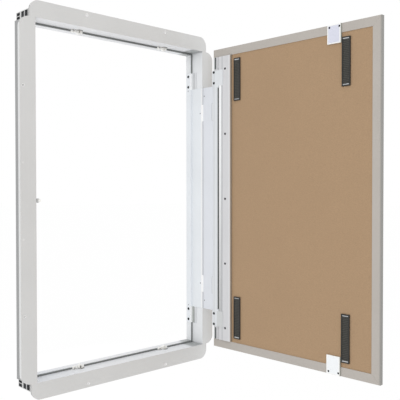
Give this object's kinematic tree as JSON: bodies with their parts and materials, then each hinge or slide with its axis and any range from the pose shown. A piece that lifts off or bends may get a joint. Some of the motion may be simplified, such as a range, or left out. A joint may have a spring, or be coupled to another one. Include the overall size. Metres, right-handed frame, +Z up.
{
  "type": "access panel",
  "caption": "Wall access panel: hollow aluminium frame with flange, magnetic catches and push latch, and a board leaf on a concealed hinge with two pivot lines.",
  "frame": {"origin": "centre of the opening on the plane of the flange's back, which seats on the wall; also the centre of the flange screw patterns", "axes": "+X to the right seen from the room, +Y into the wall, +Z up; the leaf is hinged at +X and opens towards -Y"},
  "size_m": [0.578, 0.5922, 0.878],
  "materials": {
    "frame_aluminium": "satin powder coat",
    "key_aluminium": "mill",
    "dark_screw": "blackened",
    "zinc_screw": "zinc",
    "seal_rubber": "matte",
    "catch_plastic": "moulded",
    "magnet_dark": "ferrite",
    "latch_plastic": "moulded",
    "hinge_sheet": "white coat",
    "pin_steel": "drawn",
    "profile_aluminium": "satin",
    "rail_steel": "greige coat",
    "board": "fine particle board",
    "keeper_steel": "pale coat",
    "strip_plastic": "moulded",
    "strip_core": "ribbed",
    "clip_steel": "bright"
  },
  "bodies": {
    "frame": {"frame_bar_top": "frame_aluminium", "frame_bar_bottom": "frame_aluminium", "frame_bar_left": "frame_aluminium", "frame_bar_right": "frame_aluminium", "corner_keys": "key_aluminium", "corner_screws": "zinc_screw", "frame_seal_top": "seal_rubber", "frame_seal_bottom": "seal_rubber", "frame_seal_left": "seal_rubber", "frame_seal_right": "seal_rubber", "catch_top_left": "catch_plastic", "catch_top_right": "catch_plastic", "catch_bottom_left": "catch_plastic", "catch_bottom_right": "catch_plastic", "catch_magnets": "magnet_dark", "catch_screws": "zinc_screw", "latch_housing": "latch_plastic", "latch_screws": "dark_screw", "frame_hinge_plate": "hinge_sheet", "frame_hinge_screws": "dark_screw", "frame_hinge_rivets": "pin_steel", "frame_hinge_pin": "pin_steel"},
    "plunger": {"latch_plunger": "latch_plastic"},
    "link": {"hinge_link": "hinge_sheet", "link_rivets": "pin_steel"},
    "leaf": {"leaf_hinge_pin": "pin_steel", "leaf_hinge_plate": "hinge_sheet", "leaf_hinge_screws": "dark_screw", "leaf_hinge_profile": "profile_aluminium", "leaf_profile_screws": "dark_screw", "leaf_seals": "seal_rubber", "leaf_rail_top": "rail_steel", "leaf_rail_bottom": "rail_steel", "leaf_rail_free": "rail_steel", "leaf_rail_hinge": "rail_steel", "leaf_board": "board", "keeper_top": "keeper_steel", "keeper_bottom": "keeper_steel", "keeper_screws": "dark_screw", "strip_housing_top_near": "strip_plastic", "strip_housing_top_far": "strip_plastic", "strip_housing_bottom_near": "strip_plastic", "strip_housing_bottom_far": "strip_plastic", "strip_cores": "strip_core", "strip_clips": "clip_steel"}
  },
  "joints": [
    {"name": "link_swing", "type": "hinge", "parent": "frame", "child": "link", "pos_m": [0.24835, -0.0088, 0], "axis": [0, 0, -1], "range_deg": [0, 180]},
    {"name": "leaf_turn", "type": "hinge", "parent": "link", "child": "leaf", "pos_m": [0.251, -0.0464, 0], "axis": [0, 0, -1], "range_deg": [-88, 0]},
    {"name": "latch_push", "type": "slide", "parent": "frame", "child": "plunger", "axis": [0, 1, 0], "range_m": [0, 0.008], "stiffness_N_per_m": 300}
  ],
  "couplings": [
    {"joint": "link_swing", "follows": "leaf_turn", "ratio": -2.0454}
  ]
}
